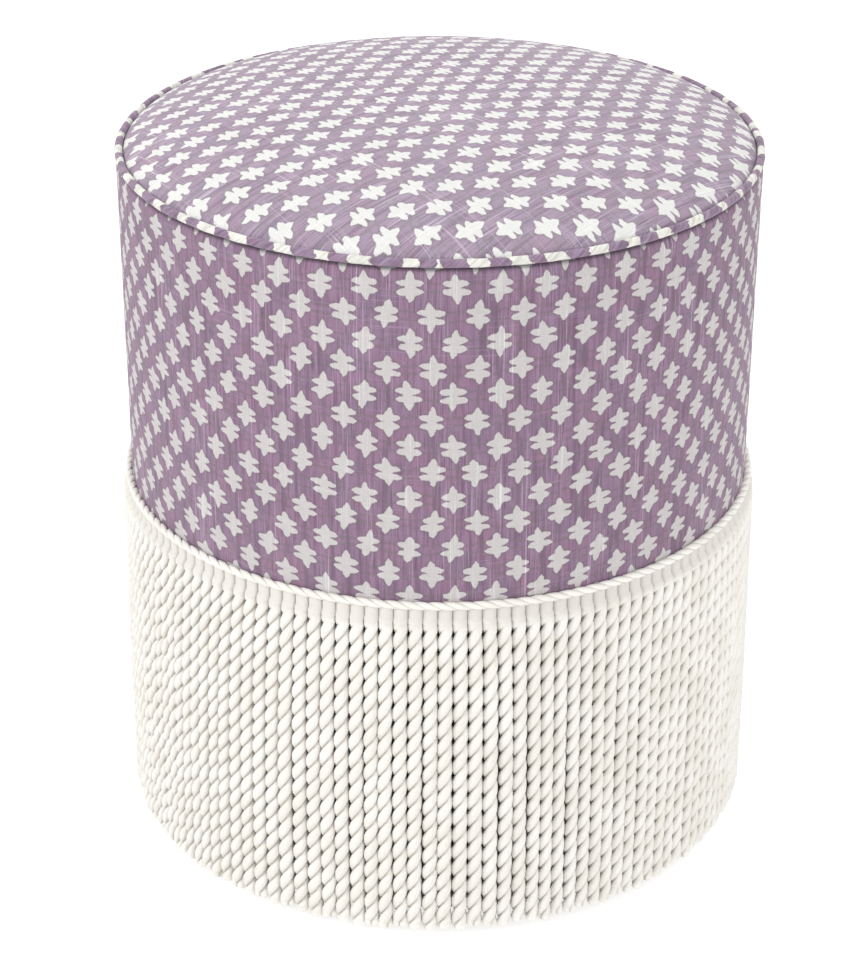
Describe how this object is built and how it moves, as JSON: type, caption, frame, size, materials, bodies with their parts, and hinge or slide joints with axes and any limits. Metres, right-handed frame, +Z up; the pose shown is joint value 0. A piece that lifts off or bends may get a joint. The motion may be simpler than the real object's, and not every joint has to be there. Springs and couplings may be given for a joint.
{
  "type": "tuffet",
  "caption": "Round upholstered tuffet with a crowned seat and side in printed linen, a piped edge and a deep bullion fringe down to the floor.",
  "frame": {"origin": "centre of the stool on the floor, at the level of the feet's undersides", "axes": "+Z up along the stool's own axis; the stool is round, and -Y is the side that the picture shows"},
  "size_m": [0.4002, 0.4002, 0.465],
  "materials": {
    "seat_linen": "slub linen, printed",
    "side_linen": "slub linen, printed",
    "welt_linen": "slub linen, printed",
    "fringe_cotton": "twisted matt cotton",
    "black_cloth": "matt woven",
    "foam": "open-cell foam",
    "wadding": "fleecy polyester",
    "plywood": "raw birch plywood",
    "pine": "planed, raw",
    "black_plastic": "fine matt moulding",
    "zinc_steel": "zinc plated"
  },
  "bodies": {
    "root": {"base_board": "plywood", "seat_board": "plywood", "fringe_rail": "plywood", "drum_wall": "plywood", "seat_foam": "foam", "seat_wadding": "wadding", "seat_cover": "seat_linen", "welt": "welt_linen", "side_wadding": "wadding", "side_cover": "side_linen", "lower_lining": "black_cloth", "fringe_lip_cord": "fringe_cotton", "dust_cover": "black_cloth", "post_1": "pine", "post_2": "pine", "post_3": "pine", "post_4": "pine", "post_5": "pine", "post_6": "pine", "post_screw_1": "zinc_steel", "post_screw_2": "zinc_steel", "post_screw_3": "zinc_steel", "post_screw_4": "zinc_steel", "post_screw_5": "zinc_steel", "post_screw_6": "zinc_steel", "post_screw_7": "zinc_steel", "post_screw_8": "zinc_steel", "post_screw_9": "zinc_steel", "post_screw_10": "zinc_steel", "post_screw_11": "zinc_steel", "post_screw_12": "zinc_steel", "foot_1": "black_plastic", "foot_screw_1": "zinc_steel", "fringe_strands_1": "fringe_cotton", "foot_2": "black_plastic", "foot_screw_2": "zinc_steel", "fringe_strands_2": "fringe_cotton", "foot_3": "black_plastic", "foot_screw_3": "zinc_steel", "fringe_strands_3": "fringe_cotton", "foot_4": "black_plastic", "foot_screw_4": "zinc_steel", "fringe_strands_4": "fringe_cotton"}
  },
  "joints": []
}
